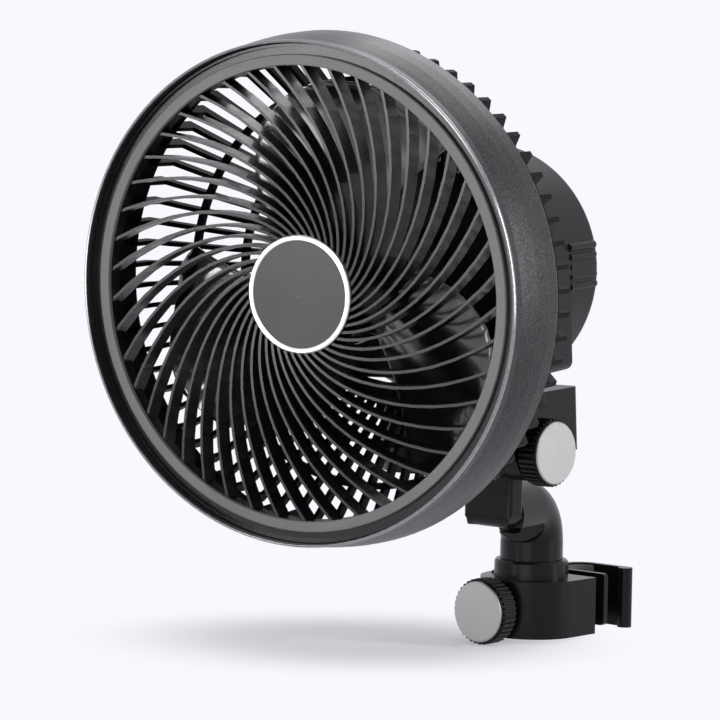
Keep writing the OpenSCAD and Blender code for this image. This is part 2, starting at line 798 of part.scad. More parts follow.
module cover_screws() {
    color("#77777a") at_fan() for (p = cover_screw_at) translate([p[0], p[1], -rear + head_z]) union() {
        translate([0, 0, -2]) cylinder(r = head_r, h = 2);
        translate([0, 0, -eps]) cylinder(r = screw_r, h = cover_depth - head_z + 8);
    }
}

module power_button() {
    color("#4a4a4c") at_fan() translate([0, button_y, -rear - button_out]) union() {
        rotate_extrude() polygon([[0, 0], [button_r - 1, 0], [button_r, 1], [button_r, button_out + 3.3],
            [button_r + 1.5, button_out + 3.3], [button_r + 1.5, button_out + 4.5], [0, button_out + 4.5]]);
        cylinder(r = 2.5, h = rear - board_z + button_out - board_t/2 - button_travel - 0.3);
    }
}

module usb_socket() {
    color("#a8a8aa") at_fan() translate([0, usb_y, 0]) difference() {
        translate([-usb_w/2, -usb_h/2, -rear + 0.4]) cube([usb_w, usb_h, rear - board_z - board_t/2 - 0.4]);
        translate([-usb_w/2 + 0.5, -usb_h/2 + 0.5, -rear]) cube([usb_w - 1, usb_h - 1, 7]);
    }
}

module circuit_board() {
    color("#1f5a35") at_fan() translate([-board_w/2, board_low, -board_z - board_t/2])
        cube([board_w, board_h, board_t]);
}

module battery_cells() {
    color("#3f6aa0") at_fan() for (i = [-1.5:1:1.5])
        translate([i*(cell_d + gap), cell_y, -rear + cell_rear]) cylinder(r = cell_d/2, h = cell_len);
}

module motor_can() {
    color("#7b7b7d") at_fan() difference() {
        translate([0, 0, -motor_back]) cylinder(r = motor_r, h = motor_len);
        translate([0, 0, -motor_back + can_end]) cylinder(r = motor_r - can_t, h = motor_len - 2*can_end);
        translate([0, 0, -motor_back - 1]) cylinder(r = bearing_r, h = motor_len + 2);
    }
}

module motor_stator() {
    color("#9a5a30") at_fan() translate([0, 0, -motor_back + stator_in]) difference() {
        cylinder(r = motor_r - can_t, h = motor_len - 2*stator_in);
        translate([0, 0, -1]) cylinder(r = rotor_r + 0.4, h = motor_len);
    }
}

module motor_bearings() {
    color("#b5b5b8") at_fan() for (z = [-motor_back, -motor_front - bearing_t])
        translate([0, 0, z]) difference() {
            cylinder(r = bearing_r, h = bearing_t);
            translate([0, 0, -1]) cylinder(r = shaft_r + run, h = bearing_t + 2);
        }
}

module motor_rotor() {
    color("#6a6a6c") at_fan() translate([0, 0, -motor_back + rotor_in]) difference() {
        cylinder(r = rotor_r, h = motor_len - 2*rotor_in);
        translate([0, 0, -1]) cylinder(r = shaft_r, h = motor_len);
    }
}

module motor_shaft() {
    color("#c4c4c6") at_fan() translate([0, 0, -motor_back - 2])
        cylinder(r = shaft_r, h = motor_back + 2 - wheel_front + 4);
}

// one fan blade, lofted through sections that lie on cylinders round the axis
blade_stations = 6;
blade_steps = 7;
function blade_rad(j) = (wheel_hub_r - 1.2) + (wheel_r - wheel_hub_r + 1.2)*j/blade_stations;
function blade_swing(j) = 26*pow(j/blade_stations, 1.6);
function blade_span_at(j) = blade_span*(0.80 + 0.26*sin(180*(j/blade_stations)*0.78));
function blade_drop(j) = wheel_depth*(0.96 - 0.30*j/blade_stations);
function blade_z(j, s) = -wheel_front - 0.5 - (wheel_depth - blade_drop(j))/2
    - blade_drop(j)*(s - 0.16*sin(180*s));
function blade_thick(j, s) = blade_t*(0.35 + 0.65*sin(180*(0.12 + 0.76*s)))
    *(1.25 - 0.45*j/blade_stations);
function blade_pt(j, s, side) =
    let (r = blade_rad(j), a = blade_swing(j) + blade_span_at(j)*s)
    [r*cos(a), r*sin(a), blade_z(j, s) + side*blade_thick(j, s)/2];
blade_points = [for (j = [0:blade_stations]) each concat(
    [for (k = [0:blade_steps]) blade_pt(j, k/blade_steps, 1)],
    [for (k = [0:blade_steps]) blade_pt(j, 1 - k/blade_steps, -1)])];
blade_n = 2*(blade_steps + 1);
blade_faces = concat(
    [for (j = [0:blade_stations - 1], k = [0:blade_n - 1])
        [j*blade_n + k, j*blade_n + (k + 1)%blade_n, (j + 1)*blade_n + k]],
    [for (j = [0:blade_stations - 1], k = [0:blade_n - 1])
        [j*blade_n + (k + 1)%blade_n, (j + 1)*blade_n + (k + 1)%blade_n, (j + 1)*blade_n + k]],
    [for (k = [0:blade_steps - 1]) [k, blade_n - 1 - k, k + 1]],
    [for (k = [0:blade_steps - 1]) [k + 1, blade_n - 1 - k, blade_n - 2 - k]],
    [for (k = [0:blade_steps - 1]) [blade_stations*blade_n + k + 1,
        blade_stations*blade_n + blade_n - 1 - k, blade_stations*blade_n + k]],
    [for (k = [0:blade_steps - 1]) [blade_stations*blade_n + blade_n - 2 - k,
        blade_stations*blade_n + blade_n - 1 - k, blade_stations*blade_n + k + 1]]);

module fan_wheel() {
    color("#1a1a1c") at_fan() difference() {
        union() {
            translate([0, 0, -wheel_front]) rotate_extrude()
                polygon([[0, -4], [wheel_hub_r - 2, -4], [wheel_hub_r - 2, -wheel_depth - hub_skirt],
                    [wheel_hub_r, -wheel_depth - hub_skirt], [wheel_hub_r, -4], [wheel_hub_r - 3, -1],
                    [0, 0]]);
            translate([0, 0, -wheel_front - wheel_depth + 8])
                cylinder(r = shaft_r + 2.5, h = wheel_depth - 11);
            for (i = [0:blade_count - 1]) rotate([0, 0, i*360/blade_count])
                polyhedron(points = blade_points, faces = blade_faces);
        }
        translate([0, 0, -wheel_front - wheel_depth - 1]) cylinder(r = shaft_r, h = wheel_depth + 2);
    }
}

module spinner() {
    color("#2a2a2c") at_fan() translate([0, 0, -wheel_front]) difference() {
        cylinder(r = spinner_r, h = 2.4);
        translate([0, 0, -1]) cylinder(r = shaft_r, h = 6);
    }
}

module rear_grille() {
    color("#1f1f21") at_fan() union() {
        translate([0, 0, -collar_end]) difference() {
            cylinder(r = bar_r, h = collar_end - 20);
            translate([0, 0, -1]) cylinder(r = ring_in, h = collar_end);
        }
        for (i = [0:bar_count - 1]) rotate([0, 0, i*360/bar_count]) rotate([90, 0, 0])
            translate([0, 0, -bar_t/2]) linear_extrude(bar_t)
                polygon([[bar_r, -28], [bar_r, -bar_corner + 0.8], [bar_r - 0.8, -bar_corner],
                    [bar_end_r, bar_end_z], [inner_r - 3, bar_end_z], [inner_r - 3, bar_end_z + bar_depth],
                    [bar_end_r, bar_end_z + bar_depth*1.4],
                    [bar_r - bar_depth - 0.4, -bar_corner + bar_depth*0.6], [bar_r - bar_depth, -28]]);
        for (t = [0.36, 0.70]) translate([0, 0, -bar_corner + t*(bar_corner + bar_end_z) + 0.6])
            difference() {
                cylinder(r = bar_r - t*(bar_r - bar_end_r) + 0.6, h = 3.4);
                translate([0, 0, -1]) cylinder(r = bar_r - t*(bar_r - bar_end_r) - 2, h = 6);
            }
        translate([0, 0, -housing_front]) difference() {
            cylinder(r = inner_r, h = 8);
            translate([0, 0, -1]) cylinder(r = inner_r - 6, h = 10);
        }
    }
}

module bezel() {
    color("#4b4b4e") at_fan() rotate_extrude($fn = 96) polygon([[lip_r, bezel_z], [bf_r, bezel_z],
        [bf_r + (br_r - bf_r)*0.08, -1.5], [bf_r + (br_r - bf_r)*0.30, -5.5],
        [bf_r + (br_r - bf_r)*0.62, -12],
        [bf_r + (br_r - bf_r)*0.88, -19], [br_r, -bezel_back + 1], [br_r - 0.4, -bezel_back],
        [bar_r + 0.2, -bezel_back], [bar_r + 0.2, -20], [bar_r - 1.6, -20], [bar_r - 2, shelf_z - 2],
        [lip_r - 3, shelf_z - 2], [lip_r - 3, shelf_z], [lip_r, shelf_z]]);
}

module bezel_rim() {
    color("#d8d8da") at_fan() translate([0, 0, bezel_z]) rotate_extrude($fn = 96)
        polygon([[lip_r, 0], [bf_r, 0], [bf_r, rim_h*0.55], [bf_r - rim_w*0.15, rim_h*0.85],
            [bf_r - rim_w/2, rim_h], [lip_r + rim_w*0.15, rim_h*0.85], [lip_r, rim_h*0.55]]);
}

// front grille: every rib follows one logarithmic spiral from the hub to the rim
rib_steps = 13;
function rib_r(k) = rib_in*pow(rib_out/rib_in, k/rib_steps);
function rib_a(k) = rib_twist*ln(rib_r(k)/rib_in);
function rib_half(k) = rib_t/2/(rib_r(k)*cos(atan(rib_twist*PI/180)))*180/PI;
function rib_xy(k, s) = rib_r(k)*[cos(rib_a(k) + s*rib_half(k)), sin(rib_a(k) + s*rib_half(k))];
rib_points = concat([for (k = [0:rib_steps]) rib_xy(k, 1)],
    [for (k = [0:rib_steps]) rib_xy(rib_steps - k, -1)]);

module front_grille() {
    color("#161618") at_fan() union() {
        rotate_extrude() polygon([[fr_in, shelf_z], [grille_rim_r, shelf_z], [grille_rim_r, -0.3],
            [grille_rim_r - groove_lip, -0.3], [grille_rim_r - groove_lip, -front_ring_t],
            [fr_in, -front_ring_t]]);
        intersection() {
            for (i = [0:rib_count - 1]) rotate([0, 0, i*360/rib_count])
                translate([0, 0, -16]) linear_extrude(16) polygon(rib_points);
            rotate_extrude() polygon([[0, -hub_setback], [hub_r, -hub_setback], [fr_in, -front_ring_t],
                [rib_out + 2, -front_ring_t], [rib_out + 2, shelf_z], [fr_in, -front_ring_t - rib_depth],
                [hub_r, -hub_setback - rib_depth], [0, -hub_setback - rib_depth]]);
        }
        difference() {
            translate([0, 0, -hub_setback - hub_depth]) cylinder(r = hub_r, h = hub_depth);
            translate([0, 0, -hub_setback - hub_depth - 1]) cylinder(r = hub_r - 3, h = hub_depth - 1.4);
        }
    }
}

module front_ring() {
    color("#808082") at_fan() translate([0, 0, -front_ring_t]) rotate_extrude()
        polygon([[fr_in, 0], [fr_r, 0], [fr_r, front_ring_t - 0.4], [fr_r - 0.4, front_ring_t],
            [fr_in + 0.3, front_ring_t], [fr_in, front_ring_t - 0.3]]);
}

module hub_badge() {
    color("#606063") at_fan() translate([0, 0, -hub_setback]) rotate_extrude()
        polygon([[0, 0], [badge_r, 0], [badge_r, 1], [badge_r*0.6, 1.3], [0, 1.4]]);
}

module hub_ring() {
    color("#e2e2e4") at_fan() translate([0, 0, -hub_setback]) rotate_extrude()
        polygon([[badge_r, 0], [hub_r, 0], [hub_r, 1.1], [hub_r - 0.6, 1.7], [badge_r + 0.5, 1.7],
            [badge_r, 1.3]]);
}

clamp_block();
collar_ring();
collar_pin();
jaw_hook();
hook_liner();
hook_screws();
clamp_insert();
jaw_plate();
jaw_pad();
clamp_knob();
clamp_knob_disc();
clamp_screw();
screw_clips();
swivel_arm();
tilt_knob();
tilt_knob_disc();
tilt_bolt();
tilt_nut();
tilt_washers();
swivel_bracket();
bracket_lid();
lid_screws();
thrust_washer();
neck();
spindle_clip();
housing();
rear_cover();
cover_screws();
power_button();
usb_socket();
circuit_board();
battery_cells();
motor_can();
motor_stator();
motor_bearings();
motor_rotor();
motor_shaft();
fan_wheel();
spinner();
rear_grille();
bezel();
bezel_rim();
front_grille();
front_ring();
hub_badge();
hub_ring();
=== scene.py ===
# %% [markdown]
# # A clip fan, dressed for its portrait
# This fan clips to a post. Its head pans and tilts on a bent arm, and a screw clamp holds it.
# Nearly all of its pieces come in as exact solids, so this lesson is mostly about finishes: it
# gives every solid the surface that the real piece has. One piece is modelled here, the fan
# wheel with its smooth blades. Camera, floor and light come last.

# %% Load the solids
import json
import math

import bpy
from mathutils import Matrix, Vector


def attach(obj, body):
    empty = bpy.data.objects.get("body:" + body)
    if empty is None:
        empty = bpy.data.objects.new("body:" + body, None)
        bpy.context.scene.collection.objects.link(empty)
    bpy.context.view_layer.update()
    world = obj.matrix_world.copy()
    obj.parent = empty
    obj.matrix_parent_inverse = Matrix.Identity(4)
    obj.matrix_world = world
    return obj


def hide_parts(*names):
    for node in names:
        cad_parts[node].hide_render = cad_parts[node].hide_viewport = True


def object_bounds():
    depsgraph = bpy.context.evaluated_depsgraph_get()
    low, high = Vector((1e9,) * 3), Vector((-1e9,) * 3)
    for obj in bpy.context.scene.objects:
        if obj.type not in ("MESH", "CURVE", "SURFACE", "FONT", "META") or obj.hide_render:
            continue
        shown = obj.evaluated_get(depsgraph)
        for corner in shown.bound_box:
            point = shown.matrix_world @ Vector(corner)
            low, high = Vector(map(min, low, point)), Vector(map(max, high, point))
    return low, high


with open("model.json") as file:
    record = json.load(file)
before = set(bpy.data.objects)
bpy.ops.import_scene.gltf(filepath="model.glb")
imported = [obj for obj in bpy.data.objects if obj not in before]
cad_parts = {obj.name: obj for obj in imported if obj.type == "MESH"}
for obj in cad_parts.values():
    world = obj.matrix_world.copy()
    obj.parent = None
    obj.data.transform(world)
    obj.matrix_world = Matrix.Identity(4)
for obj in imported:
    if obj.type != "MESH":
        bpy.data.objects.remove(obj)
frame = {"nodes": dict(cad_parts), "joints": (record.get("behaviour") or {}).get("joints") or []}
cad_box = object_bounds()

MM = 0.001
nodes = frame["nodes"]
joints = {joint["name"]: joint for joint in frame["joints"]}

# %% [markdown]
# ## Colours
# A paint chart gives colours in sRGB, as a hex value, and the renderer works in linear light.
# A colour typed straight into a shader would come out too pale, so one function does the turn
# and every colour below goes through it.

# %% Turn a hex colour to linear
SRGB_KNEE = 0.04045


def linear(hex_value):
    """Turns an sRGB hex colour such as "7e7e7e" into linear RGBA."""
    channels = [int(hex_value[start:start + 2], 16) / 255 for start in (0, 2, 4)]
    lit = [c / 12.92 if c <= SRGB_KNEE else ((c + 0.055) / 1.055) ** 2.4 for c in channels]
    return (*lit, 1.0)


print("mid grey in linear light:", round(linear("808080")[0], 3))

# %% [markdown]
# ## Shader nodes
# In the shader editor a node is added, set and wired by hand. One small function does the
# same: it adds a node, sets its options and gives each input a number, a colour or a link.
# A second one starts a material with its surface shader, and hands over the place on the
# object, so that each pattern sticks to its piece when the piece moves.

# %% Add a node, start a finish
def add(tree, kind, inputs=None, **settings):
    """Adds a node, sets its options, then gives each input a value or a link."""
    made = tree.nodes.new(kind)
    for name, value in settings.items():
        setattr(made, name, value)
    for name, value in (inputs or {}).items():
        socket = made.inputs[name]
        if isinstance(value, bpy.types.NodeSocket):
            tree.links.new(value, socket)
        else:
            socket.default_value = value
    return made


def new_finish(name):
    """Starts a material. Returns it with its tree, its shader, its output and the place."""
    material = bpy.data.materials.new(name)
    material.use_nodes = True
    tree = material.node_tree
    tree.nodes.clear()
    shader = add(tree, "ShaderNodeBsdfPrincipled")
    output = add(tree, "ShaderNodeOutputMaterial", {"Surface": shader.outputs["BSDF"]})
    place = add(tree, "ShaderNodeTexCoord").outputs["Object"]
    return material, tree, shader, output, place


# %% [markdown]
# ## Real sizes for patterns
# A noise texture on a scale of 1 has cells of about one metre here, because the scene is in
# metres. Grain, scratches and flakes are known in millimetres, so a pattern's scale is worked
# out from the size of its cells.

# %% Scale of a pattern, and its two tones
def per_mm(cell_mm):
    """Texture scale at which one cell is that many millimetres across."""
    return 1.0 / (cell_mm * MM)


def two_tones(ramp, dark, light, dark_at, light_at):
    """Sets a colour ramp to two sRGB tones, each at its own place along the pattern."""
    for stop, tone, where in zip(ramp.color_ramp.elements, (dark, light), (dark_at, light_at)):
        stop.color = linear(tone)
        stop.position = where


print("scale for a grain of 0.35 mm:", round(per_mm(0.35)))

# %% [markdown]
# ## Moulded plastic
# Most of this fan is injection-moulded ABS. The steel mould is spark eroded, and the plastic
# takes over its texture, a satin grain of a third of a millimetre. The colour also drifts a
# little where the plastic flowed. A bump map alone would give the grain but leave the shine
# even, so the same noise also moves the roughness, and a broad noise moves the colour.
# Rubber and sprayed paint look much the same from here, so they share this recipe.

# %% A recipe for moulded pieces
ABS_IOR = 1.52
FLOW_MM = 28
GRAIN_MM = 0.35
GRAIN_DEPTH = 0.05 * MM


def moulded(name, dark, light, rough, grain=0.10, specular=0.35):
    """A moulded surface with two near tones, a grain and a slightly uneven sheen."""
    material, tree, shader, output, place = new_finish(name)
    flow = add(tree, "ShaderNodeTexNoise",
               {"Vector": place, "Scale": per_mm(FLOW_MM), "Detail": 3.0})
    tone = add(tree, "ShaderNodeValToRGB", {"Fac": flow.outputs["Fac"]})
    two_tones(tone, dark, light, 0.35, 0.70)
    spark = add(tree, "ShaderNodeTexNoise",
                {"Vector": place, "Scale": per_mm(GRAIN_MM), "Detail": 2.0})
    bump = add(tree, "ShaderNodeBump",
               {"Height": spark.outputs["Fac"], "Strength": grain, "Distance": GRAIN_DEPTH})
    sheen = add(tree, "ShaderNodeMapRange",
                {"Value": spark.outputs["Fac"], "From Min": 0.3, "From Max": 0.7,
                 "To Min": rough - 0.04, "To Max": rough + 0.05})
    tree.links.new(tone.outputs["Color"], shader.inputs["Base Color"])
    tree.links.new(sheen.outputs["Result"], shader.inputs["Roughness"])
    tree.links.new(bump.outputs["Normal"], shader.inputs["Normal"])
    shader.inputs["IOR"].default_value = ABS_IOR
    shader.inputs["Specular IOR Level"].default_value = specular
    return material


print("colour drifts over", FLOW_MM, "mm, grain", GRAIN_MM, "mm")

# %% [markdown]
# ## Black, in six shades
# Black plastic shows its shape almost only through what it reflects. So the six shades differ
# less in colour than in sheen. The knobs and the bracket are plain black. The spiral grille
# came out of a polished mould and its ribs catch thin bright lines. The arm and the clamp are
# smooth with weak, clear highlights, the drum is softer, and the rear grille is quite matt. The
# wheel's mould is polished, so its blades mirror the room softly and hardly any grain shows.

# %% Black plastics
black_abs = moulded("injection-moulded black ABS", "0b0b0c", "101011", 0.34, specular=0.18)
glossy_abs = moulded("injection-moulded glossy black ABS", "0b0b0c", "101011", 0.24,
                     specular=0.40)
charcoal_abs = moulded("injection-moulded charcoal ABS", "0d0d0e", "121213", 0.26,
                       specular=0.15)
graphite_abs = moulded("injection-moulded graphite ABS", "141415", "1a1a1b", 0.40,
                       specular=0.10)
matt_abs = moulded("injection-moulded matt black ABS", "080809", "0c0c0d", 0.50,
                   specular=0.05)
polished_abs = moulded("polished black ABS", "0b0b0d", "101012", 0.13, grain=0.03,
                       specular=1.0)
print("black plastics: 6")

# %% [markdown]
# ## Grey plastic, paint and rubber
# The flat ring inside the bezel is moulded in mid grey, and the badge on the hub is sprayed, so
# its surface is smoother than a moulded one. The hook is lined with grey rubber and the jaw
# carries a black pad. Rubber comes out of a coarser mould and scatters light, so its highlight
# is wide and faint.

# %% Greys and rubbers
grey_abs = moulded("injection-moulded grey ABS", "5b5b5b", "616161", 0.45)
sprayed_grey = moulded("sprayed grey lacquer", "3d3d3e", "434344", 0.45, grain=0.04)
grey_rubber = moulded("grey moulded rubber", "6a6a6a", "747474", 0.60, grain=0.20)
black_rubber = moulded("moulded black rubber", "111111", "171717", 0.70, grain=0.20)
print("greys and rubbers: 4")

# %% [markdown]
# ## Inside the fan
# The cells wear a thin heat-shrink wrap, which is smooth and shiny. The circuit board has a
# printed solder mask, and the washer under the neck is turned from acetal, a waxy white plastic.

# %% Finishes of the inner pieces
shrink_wrap = moulded("blue heat-shrink wrap", "2f5c94", "3a6aa6", 0.25, grain=0.02)
solder_mask = moulded("printed green solder mask", "1c5a38", "246844", 0.30, grain=0.05)
acetal = moulded("turned natural acetal", "d8d8d2", "e2e2dc", 0.45, grain=0.04)
print("inner finishes: 3")

# %% [markdown]
# ## Sprayed gunmetal lacquer
# The wide ring round the head is sprayed with a metallic lacquer. Aluminium flakes lie in it at
# slightly different angles, so it sparkles up close and turns from light to dark round the
# curve. Real flakes are a few hundredths of a millimetre, too fine to show here, so the cells
# are drawn 0.6 mm across, as coarse as they need to be seen. Each cell gets its own brightness
# and tilts the surface a little. Metallic stays below 1, because the pigment between the flakes
# isn't metal.

# %% Lacquer with flakes
FLAKE_MM = 0.60
FLAKE_DEPTH = 0.05 * MM

gunmetal, tree, shader, output, place = new_finish("sprayed gunmetal lacquer")
flakes = add(tree, "ShaderNodeTexNoise",
             {"Vector": place, "Scale": per_mm(FLAKE_MM), "Detail": 2.0})
tone = add(tree, "ShaderNodeValToRGB", {"Fac": flakes.outputs["Fac"]})
two_tones(tone, "252527", "484849", 0.36, 0.66)
tilt = add(tree, "ShaderNodeBump",
           {"Height": flakes.outputs["Fac"], "Strength": 0.10, "Distance": FLAKE_DEPTH})
tree.links.new(tone.outputs["Color"], shader.inputs["Base Color"])
tree.links.new(tilt.outputs["Normal"], shader.inputs["Normal"])
shader.inputs["Metallic"].default_value = 0.80
shader.inputs["Roughness"].default_value = 0.36
shader.inputs["Specular IOR Level"].default_value = 0.3
print("lacquer nodes:", len(tree.nodes))

# %% [markdown]
# ## Metal
# A metal's look is its colour and how its surface was worked. A belt leaves straight scratches
# that stretch the highlight across them, and a lathe leaves fine rings. Both are a noise that
# is squeezed in some directions, so one recipe makes them. Plating has no direction, so there
# the noise isn't squeezed and hardly raised.

# %% A recipe for worked metal
SCRATCHES_PER_CELL = 6
SCRATCH_DEPTH = 0.04 * MM
EVEN = (1.0, 1.0, 1.0)


def worked_metal(name, dark, light, rough, squeeze=EVEN, scratch_mm=0.35, raised=0.10):
    """Bare or plated metal with scratches that run where the noise isn't squeezed."""
    material, tree, shader, output, place = new_finish(name)
    along = add(tree, "ShaderNodeMapping", {"Vector": place, "Scale": squeeze})
    scratches = add(tree, "ShaderNodeTexNoise",
                    {"Vector": along.outputs["Vector"],
                     "Scale": per_mm(scratch_mm * SCRATCHES_PER_CELL),
                     "Detail": 4.0, "Roughness": 0.6})
    tone = add(tree, "ShaderNodeValToRGB", {"Fac": scratches.outputs["Fac"]})
    two_tones(tone, dark, light, 0.3, 0.7)
    bump = add(tree, "ShaderNodeBump",
               {"Height": scratches.outputs["Fac"], "Strength": raised,
                "Distance": SCRATCH_DEPTH})
    tree.links.new(tone.outputs["Color"], shader.inputs["Base Color"])
    tree.links.new(bump.outputs["Normal"], shader.inputs["Normal"])
    shader.inputs["Metallic"].default_value = 1.0
    shader.inputs["Roughness"].default_value = rough
    return material


print("a scratch recipe with cells of", 0.35 * SCRATCHES_PER_CELL, "mm before they are squeezed")

# %% [markdown]
# ## The fan's metals
# Each knob carries a disc of brushed aluminium. The thin bead round the head is plated plastic,
# and so is the ring round the hub, which is brighter and a little softer. Screws, bolts,
# washers and clips are zinc-plated steel, the threaded insert in the clamp is turned brass,
# and the motor's windings are enamelled copper.

# %% Metals of the fan
disc_metal = worked_metal("brushed aluminium", "9c9c9a", "b2b2b0", 0.42, squeeze=(1.0, 1.0, 14.0))
bead_plating = worked_metal("electroplated bright silver", "808082", "929294", 0.22, raised=0.02)
hub_plating = worked_metal("electroplated polished silver", "e8e8e8", "f2f2f2", 0.30,
                           raised=0.02)
zinc_steel = worked_metal("zinc-plated steel", "8e8e90", "9e9ea0", 0.35, scratch_mm=0.8)
turned_brass = worked_metal("turned brass", "b08a42", "c49c52", 0.30, squeeze=(8.0, 1.0, 8.0))
copper_wire = worked_metal("enamelled copper wire", "96502c", "b4683c", 0.35,
                           squeeze=(1.0, 1.0, 6.0), scratch_mm=0.5)
print("metals: 6")

# %% [markdown]
# ## Dress the solids
# By hand, each piece would be picked and given its material. A table does it in one go, and it
# also reads as a parts list. What the table doesn't name is a small steel part.

# %% Give every solid its finish
finish_of = {
    "bezel": gunmetal, "bezel_rim": bead_plating, "front_ring": grey_abs,
    "hub_ring": hub_plating, "hub_badge": sprayed_grey,
    "front_grille": glossy_abs, "rear_grille": matt_abs,
    "fan_wheel": polished_abs, "spinner": polished_abs,
    "housing": graphite_abs, "rear_cover": graphite_abs, "power_button": grey_abs,
    "neck": black_abs, "swivel_bracket": black_abs, "bracket_lid": black_abs,
    "swivel_arm": charcoal_abs, "collar_ring": charcoal_abs, "collar_pin": charcoal_abs,
    "clamp_block": charcoal_abs, "jaw_hook": charcoal_abs, "jaw_plate": charcoal_abs,
    "hook_liner": grey_rubber, "jaw_pad": black_rubber,
    "clamp_knob": black_abs, "tilt_knob": black_abs,
    "clamp_knob_disc": disc_metal, "tilt_knob_disc": disc_metal,
    "clamp_insert": turned_brass, "motor_stator": copper_wire,
    "battery_cells": shrink_wrap, "circuit_board": solder_mask, "thrust_washer": acetal,
}
for name, solid in nodes.items():
    solid.data.materials.clear()
    solid.data.materials.append(finish_of.get(name, zinc_steel))
print("dressed solids:", len(nodes), "of them steel:", len(set(nodes) - set(finish_of)))

# %% [markdown]
# ## The head's own axes
# The wheel is easiest to model on the head's own axes: x across it, y up it and z out of its
# front, from the centre of the front rim. The head is panned and tilted, but its joints already
# say where it points. The spin joint gives the centre and z, and the pan joint gives y. So
# nothing has to be measured again if the head rests at another angle.

# %% Find the head's axes
def head_axes():
    """Matrix that takes millimetres on the head's own axes to metres in the scene."""
    out = Vector(joints["blade_spin"]["axis"]).normalized()
    up = Vector(joints["head_pan"]["axis"]).normalized()
    across = up.cross(out).normalized()
    turn = Matrix((across, up, out)).transposed().to_4x4()
    centre = Matrix.Translation(Vector(joints["blade_spin"]["pos_m"]))
    return centre @ turn @ Matrix.Scale(MM, 4)


to_head = head_axes()
print("head centre:", [round(v, 4) for v in to_head.translation])

# %% [markdown]
# ## The fan wheel
# The wheel is one moulding of black ABS: a cup with a thin wall that covers the motor, and
# three broad blades. Its solid has five plain blades with flat facets, so a smooth wheel with
# the real three is modelled here and stands in for it. First come its sizes, in millimetres.
# Depths are counted from the head's front, so they are negative.

# %% Sizes of the wheel
HUB_R = 25.0
TIP_R = 87.5
BLADES = 3
BLADE_THICK = 1.6
REAR_EDGE_Z = -46.0
FRONT_EDGE_Z = -24.0
CUP_FRONT_Z = -16.0
CUP_REAR_Z = -56.0
CUP_WALL = 2.0
CUP_FLOOR = 4.0
print("wheel across:", 2 * TIP_R, "mm, blade length:", TIP_R - HUB_R, "mm")

# %% [markdown]
# ## The outline of a blade
# Seen from the front, a blade is a sector with two edges. The rear edge lies deep in the head
# and runs nearly straight out. The front edge lies shallow and sweeps back more and more
# towards the tip. Near the tip both turn inwards, which rounds the corners. Each edge is an
# angle that depends on the radius, so a short formula holds the whole curve.

# %% Angles of the two edges, in degrees
REAR_AT_HUB = 60.0
REAR_SWEEP = 14.0
REAR_CURVE = 1.3
REAR_CORNER = 8.0
REAR_CORNER_FROM = 0.90
FRONT_AT_HUB = 134.0
FRONT_SWEEP = 33.0
FRONT_CURVE = 1.8
FRONT_CORNER = 10.0
FRONT_CORNER_FROM = 0.88


def way_out(radius):
    """How far out a radius is along the blade: 0 at the hub and 1 at the tip."""
    return (radius - HUB_R) / (TIP_R - HUB_R)


def past(start, out):
    """0 up to the start of a rounded corner, and from there to 1 at the tip."""
    return max(0.0, out - start) / (1.0 - start)


def rear_edge(radius):
    """Angle of the deep edge at a radius, with its rounded corner."""
    out = way_out(radius)
    corner = REAR_CORNER * past(REAR_CORNER_FROM, out)
    return REAR_AT_HUB - REAR_SWEEP * out ** REAR_CURVE + corner


def front_edge(radius):
    """Angle of the shallow edge at a radius, with its rounded corner."""
    out = way_out(radius)
    corner = FRONT_CORNER * past(FRONT_CORNER_FROM, out)
    return FRONT_AT_HUB - FRONT_SWEEP * out ** FRONT_CURVE - corner


print("blade at the hub spans", rear_edge(HUB_R), "to", front_edge(HUB_R), "degrees")
print("blade at the tip spans", rear_edge(TIP_R), "to", round(front_edge(TIP_R), 1), "degrees")

# %% [markdown]
# ## The twist of a blade
# Across its width a blade climbs from the rear edge to the front edge. It is steepest half way
# and a little hollow, as a real blade is, so a soft S-curve and a bulge are laid over the
# straight climb. The root is drawn one millimetre into the cup, so that the two overlap.

# %% Place of any point on the blade
ROOT_IN = 1.0
CAMBER = 3.0
CAMBER_LOSS = 0.35
S_CURVE = 0.10


def blade_point(across, out):
    """Place on the head's axes of a point that many parts across the blade and out along it."""
    radius = HUB_R - ROOT_IN + (TIP_R - HUB_R + ROOT_IN) * out
    reach = max(radius, HUB_R)
    angle = math.radians(rear_edge(reach) + (front_edge(reach) - rear_edge(reach)) * across)
    climb = across - S_CURVE * math.sin(2.0 * math.pi * across)
    bulge = CAMBER * math.sin(math.pi * across) * (1.0 - CAMBER_LOSS * out)
    depth = REAR_EDGE_Z + (FRONT_EDGE_Z - REAR_EDGE_Z) * climb + bulge
    return Vector((radius * math.cos(angle), radius * math.sin(angle), depth))


print("middle of the blade:", [round(v, 1) for v in blade_point(0.5, 0.5)])

# %% [markdown]
# ## One blade
# A blade could be lofted through sections, or cut from a thick block. A flat grid is simpler:
# each of its corners is sent to its place on the twisted sheet. Solidify then gives the sheet
# its wall, half to each side, and a small bevel softens the rim as the mould does.

# %% Model one blade
def only(piece):
    """Selects one object alone and makes it active."""
    bpy.ops.object.select_all(action="DESELECT")
    piece.select_set(True)
    bpy.context.view_layer.objects.active = piece


def apply_all(piece):
    """Applies a piece's modifiers in order."""
    only(piece)
    for modifier in list(piece.modifiers):
        bpy.ops.object.modifier_apply(modifier=modifier.name)


